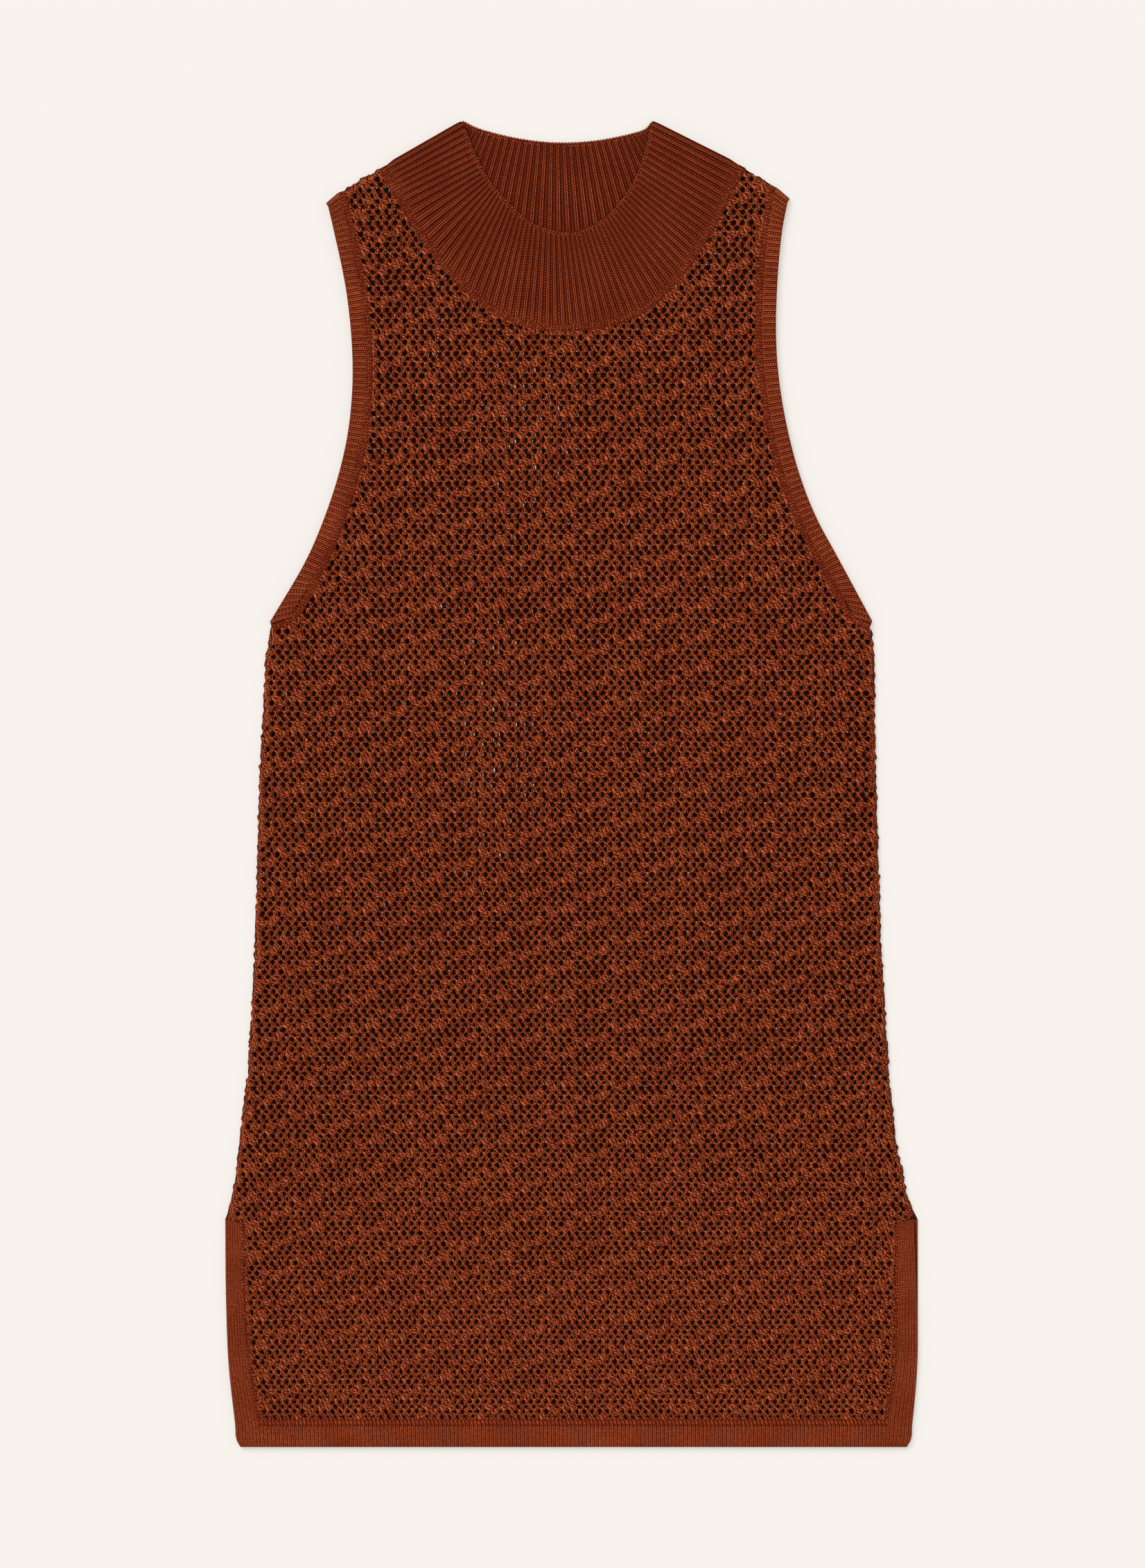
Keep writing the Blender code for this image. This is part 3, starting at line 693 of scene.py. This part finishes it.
# The armhole bands: a narrow 1x1 rib of the same yarn, linked on round each armhole. Laid flat, each is
# pressed double, with one fold at the underarm and one at the shoulder.
LEFT_ARMHOLE = (
    (0, -163.9, 487.4, -176.4, 482.8),
    (18, -148.1, 516.8, -156.3, 520.4),
    (33, -137.5, 541.8, -145.7, 544.8),
    (62, -123.4, 592.3, -131.8, 593.7),
    (79, -120.5, 621.8, -128.8, 622.3),
    (109, -123.6, 676.5, -131.8, 675.2),
    (133, -132.0, 718.6, -140.0, 716.0),
    (144, -136.4, 737.2, -144.4, 730.8),
)
RIGHT_ARMHOLE = (
    (0, 165.0, 487.8, 175.9, 483.2),
    (20, 147.7, 520.2, 155.5, 524.5),
    (33, 136.6, 541.4, 144.5, 544.8),
    (69, 117.0, 604.4, 125.3, 606.0),
    (85, 112.9, 633.8, 121.2, 634.5),
    (115, 112.9, 687.9, 121.2, 687.5),
    (130, 115.5, 715.3, 123.7, 713.9),
    (144, 120.2, 740.0, 128.4, 733.4),
)
ARMHOLE_RIBS = 72  # a layer, each of them two of the tables' steps
ARMHOLE_WALL = 2.0
ARMHOLE_GROOVE = 0.45
# Painted shade in the armhole bands' grooves.
ARMHOLE_SHADE = 0.1
ARMHOLE_FOLD_RIBS = 1.5

armhole_yarn = yarn("armhole rib crepe yarn", 0.45, 2, RIB_RUNS, (0.1, 0.2), 2.0, 0.82, 0.7)

for name, table in (("armhole_band_left", LEFT_ARMHOLE), ("armhole_band_right", RIGHT_ARMHOLE)):
    at, rail = rails(table, ARMHOLE_RIBS * RIB_COLUMNS, ARMHOLE_WALL)
    layer = (at / 2, rail)
    relief = (ARMHOLE_WALL, ARMHOLE_GROOVE, ARMHOLE_SHADE)
    folded_band(name, layer, layer, *relief, ARMHOLE_FOLD_RIBS, armhole_yarn)

# The vent and hem bands: plain knitting of the same yarn, linked to the panels. The vents' wales run up
# the band, and the hem's stand in it. Each is drawn as its outer face alone, rolled down at free edges.
VENT_ROW = ("height", "left_edge", "left_seam", "right_edge", "right_seam")  # mm
FRONT_VENT = (
    (0.0, -194.5, -182.6, 197.0, 184.4),
    (3.5, -196.6, -182.8, 199.2, 184.6),
    (12.5, -197.6, -183.4, 200.2, 185.0),
    (48.0, -201.5, -189.5, 203.2, 189.9),
    (84.0, -203.0, -192.2, 203.0, 191.0),
    (131.5, -203.5, -193.4, 201.1, 191.2),
)
BACK_VENT = (
    *FRONT_VENT[:3],
    (48.0, -201.5, -189.5, 203.3, 190.0),
    (84.0, -203.0, -192.2, 203.5, 192.2),
    (131.5, -203.5, -193.4, 203.5, 193.4),
)
VENT_TOP = FRONT_VENT[-1][0]
VENT_SEAM_RISE = 0.5  # mm by which a vent band's top end rises at its seam
VENT_TOP_RISE = 2.0  # mm by which it rises further at its free edge
VENT_HEIGHTS = np.concatenate([[0, 0.35, 1.1, 2.4], np.linspace(4, 129, 42), [130.4, 131.2, VENT_TOP]])
HEM_HEIGHTS = np.array([0, 0.35, 1.1, 2.4, 5.0, 8.0, 11.0, 12.5])
HEM_WALE = 2.28
VENT_WALES = 7
PLAIN_COURSE = 1.35  # mm, from one course to the next
WALE_GROOVE = 0.26  # mm, between two wales
GROOVE_SHADE = 0.3  # painted shade there
ROLL, ROLL_DROP = 1.5, 1.3  # mm: how far in a free edge rolls under, and how much lower it ends

PLAIN_RUNS = (
    (-0.24, 0.22, 0.3, 0.6, 0.0, 1.0),
    (0.24, 0.23, 0.4, -0.6, 0.0, 1.0),
)
LINK_RUNS = (
    (-0.25, 0.23, 0.85, 1.4, 0.0, 1.0),
    (0.25, 0.23, 0.85, -1.4, 0.0, 1.0),
)

plain_yarn = yarn("plain crepe yarn", 0.4, 1, PLAIN_RUNS, (0.15, 0.2), 2.0, 1.08, 0.7)
link_yarn = yarn("linking crepe yarn", 0.45, 1, LINK_RUNS, (0.25, 0.3), 2.0, 0.92, 0.35)


def rolled(distance):
    """How much lower the cloth lies so far in from a free edge: a quarter of an ellipse."""
    return ROLL_DROP * (1 - np.sqrt(1 - np.clip(1 - distance / ROLL, 0, 1) ** 2))


def plain_band(name, plan, wale, row, edge_drop, inner, outer):
    """A plain band as a grid in plan: its face lies at the outer height, lowered by a cosine between
    wales, and along its edges by the given drops."""
    up = 1.0 if outer > inner else -1.0
    groove = WALE_GROOVE * (0.5 + 0.5 * np.cos(2 * np.pi * (wale - 0.5)))
    height = outer - up * np.maximum(groove, edge_drop)
    points = np.dstack([plan, height])
    stitch = np.stack([wale, row], axis=-1)
    if up < 0:
        points, stitch, groove = points[:, ::-1], stitch[:, ::-1], groove[:, ::-1]
    # Painted shade between the wales.
    painted_shade = GROOVE_SHADE * groove / WALE_GROOVE
    piece = grid_piece(name + "_knit", points, stitch, painted_shade, False, plain_yarn)
    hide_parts(name)
    return piece


for side, vent, inner, outer in (
    ("front", FRONT_VENT, FRONT_INSIDE, FRONT_OUTSIDE),
    ("back", BACK_VENT, BACK_INSIDE, BACK_OUTSIDE),
):
    rows = columns(VENT_ROW, vent)
    height = VENT_HEIGHTS
    for hand in ("left", "right"):
        sides = np.column_stack([rows[hand + "_edge"], rows[hand + "_seam"]])
        lines = smooth(rows["height"], sides, height)
        wale = np.linspace(-0.5, VENT_WALES - 0.5, VENT_WALES * 4 + 1)
        share = ((wale + 0.5) / VENT_WALES)[None]
        x = lines[:, :1] + share * (lines[:, 1:] - lines[:, :1])
        rise = VENT_TOP_RISE * (1 - share) + VENT_SEAM_RISE
        y = height[:, None] + (height[:, None] / VENT_TOP) ** 8 * rise
        drop = np.maximum(rolled(share * np.abs(lines[:, 1:] - lines[:, :1])), rolled(y))
        plan = np.dstack([x, y])
        wale = np.broadcast_to(wale, x.shape)
        row = y / (2 * PLAIN_COURSE)
        if hand == "right":
            plan, wale, row, drop = plan[:, ::-1], wale[:, ::-1], row[:, ::-1], drop[:, ::-1]
        plain_band(f"vent_band_{side}_{hand}", plan, wale, row, drop, inner, outer)
    left = smooth(rows["height"], rows["left_seam"][:, None], HEM_HEIGHTS)
    right = smooth(rows["height"], rows["right_seam"][:, None], HEM_HEIGHTS)
    count = int(round(float((right - left).mean()) / HEM_WALE))
    wale = np.linspace(-0.5, count - 0.5, count * 4 + 1)
    x = left + (wale + 0.5)[None] / count * (right - left)
    y = HEM_HEIGHTS[:, None] + 0 * x
    plan, wale, row = np.dstack([x, y]), np.broadcast_to(wale, x.shape), y / (2 * PLAIN_COURSE)
    plain_band("hem_band_" + side, plan, wale, row, rolled(y), inner, outer)

# The linking: chains of stitches that join the pieces, and the collar's cast-off edges. Beside the neck
# and the armholes they lie on the panel, two abreast, and at the hem they stand as slanting bars.
CHAIN = ("width", "wales", "rise", "stitch", "swell")  # mm, chains abreast, mm proud, mm to a stitch,
# and the share by which each stitch swells
CHAINS = {
    "neck": (4.6, 2, 0.45, 1.9, 0.0),
    "armhole": (4.2, 2, 0.4, 1.9, 0.0),
    "vent": (1.9, 1, 0.3, 1.9, 0.0),
    "hem": (4.2, 1, 0.4, 2.28, 0.0),
    "cast off": (2.6, 1, 0.55, 1.9, 0.22),
}
NECK_BESIDE, ARMHOLE_BESIDE, HEM_BESIDE = 1.9, 1.7, 1.6  # mm from the seam to the chains' middle
CAST_OFF_HEIGHTS = {"front": 4.35, "back": 1.75}  # mm, of the collar's two edges
CAST_OFF_PROUD = 0.35  # mm by which its edge stands out beyond the collar's
HEM_BARS = ((0.0, 0.52, 0.8, 0.55, 0.0, 1.0),)
HEM_LINE = ((-184.2, 12.9), (185.8, 12.9))  # mm, the two ends of the hem's linking
VENT_LINE = (13, 131)  # mm, heights between which the vents' runs
SUNK = 0.12  # mm by which a chain's sides reach into the cloth
CHAIN_SHADE = 0.4  # painted shade at a chain's sides
PLAIN_STEP = 1.6  # mm along a chain from point to point, where its stitches don't swell

bar_yarn = yarn("hem linking crepe yarn", 0.4, 1, HEM_BARS, (0.2, 0.15), 2.0, 1.35, 0.6)


def chain(name, line, base, up, kind, beside, material):
    """Chains carried along a line in plan, beside it by so much to its left: half an ellipse across.
    With no base height they start from their own rise above the floor."""
    kind = dict(zip(CHAIN, CHAINS[kind]))
    if base is None:
        base = kind["rise"] - SUNK
    width, pitch, swell = kind["width"], kind["stitch"], kind["swell"]
    length = np.concatenate([[0], np.cumsum(np.linalg.norm(np.diff(line, axis=0), axis=1))])
    step = 0.25 * pitch if swell else PLAIN_STEP
    at = np.linspace(0, length[-1], int(length[-1] / step) + 1)
    line = np.stack([np.interp(at, length, line[:, k]) for k in (0, 1)], axis=1)
    across = turned_left(unit(np.gradient(line, axis=0)))
    turn = np.linspace(0, np.pi, 7)
    offset = -np.cos(turn) * width / 2
    full = 1 + swell * np.cos(2 * np.pi * at / pitch)
    plan = line[None] + (beside + offset[:, None] * full)[:, :, None] * across[None]
    height = base + up * (kind["rise"] * np.sin(turn)[:, None] * full - SUNK)
    if up > 0:
        plan, height, offset = plan[::-1], height[::-1], offset[::-1]
    wale = (offset / width)[:, None] * kind["wales"] + (kind["wales"] - 1) / 2
    stitch = np.dstack(np.broadcast_arrays(wale, at[None] / (2 * pitch)))
    # Painted shade at the chain's sides, where it meets the cloth.
    painted_shade = np.broadcast_to(CHAIN_SHADE * (1 - np.sin(turn))[:, None], plan.shape[:2])
    piece = grid_piece(name, np.dstack([plan, height]), stitch, painted_shade, False, material)
    return piece


# The front's chains start from its face, and the back's from their own rise above the floor.
for side, base, up, neck, vent in (
    ("front", FRONT_OUTSIDE, 1.0, FRONT_NECK, FRONT_VENT),
    ("back", None, -1.0, BACK_NECK, BACK_VENT),
):
    ribs, points = rib_points(neck)
    lines = smooth(ribs, points.reshape(-1, 4), np.linspace(0, ribs[-1], 160))
    seam, edge = lines[:, :2], lines[:, 2:]
    chain(f"neck_linking_{side}", seam, base, up, "neck", -NECK_BESIDE, link_yarn)
    inwards = CHAINS["cast off"][0] / 2 - CAST_OFF_PROUD
    edge = edge - unit(edge - seam) * inwards
    chain(f"neck_edge_{side}", edge[3:-3], CAST_OFF_HEIGHTS[side], 1.0, "cast off", 0.0, link_yarn)
    for hand, table, to_left in (("left", LEFT_ARMHOLE, -1), ("right", RIGHT_ARMHOLE, 1)):
        ribs, points = rib_points(table)
        seam = smooth(ribs, points[:, 0], np.linspace(0, ribs[-1], 120))
        corner = points[:1, 1] * 0.4 + points[:1, 0] * 0.6
        seam = np.concatenate([points[:1, 1], corner, seam[2:]])
        name = f"armhole_linking_{side}_{hand}"
        chain(name, seam, base, up, "armhole", to_left * ARMHOLE_BESIDE, link_yarn)
    rows = columns(VENT_ROW, vent)
    for hand in ("left", "right"):
        height = np.linspace(*VENT_LINE, 60)
        x = smooth(rows["height"], rows[hand + "_seam"][:, None], height)
        seam = np.column_stack([x, height])
        chain(f"vent_linking_{side}_{hand}", seam, base, up, "vent", 0.0, link_yarn)
    chain(f"hem_linking_{side}", np.linspace(*HEM_LINE, 60), base, up, "hem", HEM_BESIDE, bar_yarn)

# The floor, the light and the camera: matt pale paper that gives off part of its own light, a wide
# soft window to the upper left, and the camera straight above, as in the photograph.
FLOOR_REACH, FLOOR_LEVEL = 3.0, -0.0002  # m
GROUND_COLOUR, GROUND_LIGHT, LAMP_COLOUR = "A9A6A4", "F8F3ED", "FFFDF9"
ROOM_LIGHT, WINDOW_LIGHT = 0.62, 2.1  # strengths
WINDOW_WIDTH, WINDOW_TILT, WINDOW_TURN = 40, -40, 35  # degrees
SENSOR, LENS = 24.0, 85.0  # mm
CAMERA_PLACE = (0.0006, 0.0, 3.265)  # m

floor_mesh = bpy.data.meshes.new("floor")
square = np.array([(-1, -1), (1, -1), (1, 1), (-1, 1)]) * FLOOR_REACH
floor_mesh.from_pydata([(x, y, FLOOR_LEVEL) for x, y in square], [], [(0, 1, 2, 3)])
floor = bpy.data.objects.new("floor", floor_mesh)
bpy.context.scene.collection.objects.link(floor)
ground = bpy.data.materials.new("matt paper")
ground.use_nodes = True
ground.node_tree.nodes.clear()
paper = add(
    ground,
    "BsdfPrincipled",
    {
        "Base Color": linear(GROUND_COLOUR),
        "Roughness": 1.0,
        "Specular IOR Level": 0.0,
        "Emission Color": linear(GROUND_LIGHT),
        "Emission Strength": 0.523,
    },
)
add(ground, "OutputMaterial", {"Surface": paper})
floor_mesh.materials.append(ground)

world = bpy.data.worlds.new("studio")
world.use_nodes = True
room = world.node_tree.nodes["Background"]
room.inputs["Color"].default_value = linear(LAMP_COLOUR)
room.inputs["Strength"].default_value = ROOM_LIGHT
bpy.context.scene.world = world
lamp = bpy.data.lights.new("window", "SUN")
lamp.energy = WINDOW_LIGHT
lamp.angle = np.radians(WINDOW_WIDTH)
window = bpy.data.objects.new("window", lamp)
window.rotation_euler = (np.radians(WINDOW_TILT), 0.0, np.radians(WINDOW_TURN))
bpy.context.scene.collection.objects.link(window)
bpy.context.scene.view_settings.view_transform = "Standard"

camera = bpy.data.objects.new("camera", bpy.data.cameras.new("camera"))
camera.data.sensor_fit = "VERTICAL"
camera.data.sensor_height = SENSOR
camera.data.lens = LENS
camera.location = CAMERA_PLACE
bpy.context.scene.collection.objects.link(camera)
bpy.context.scene.camera = camera
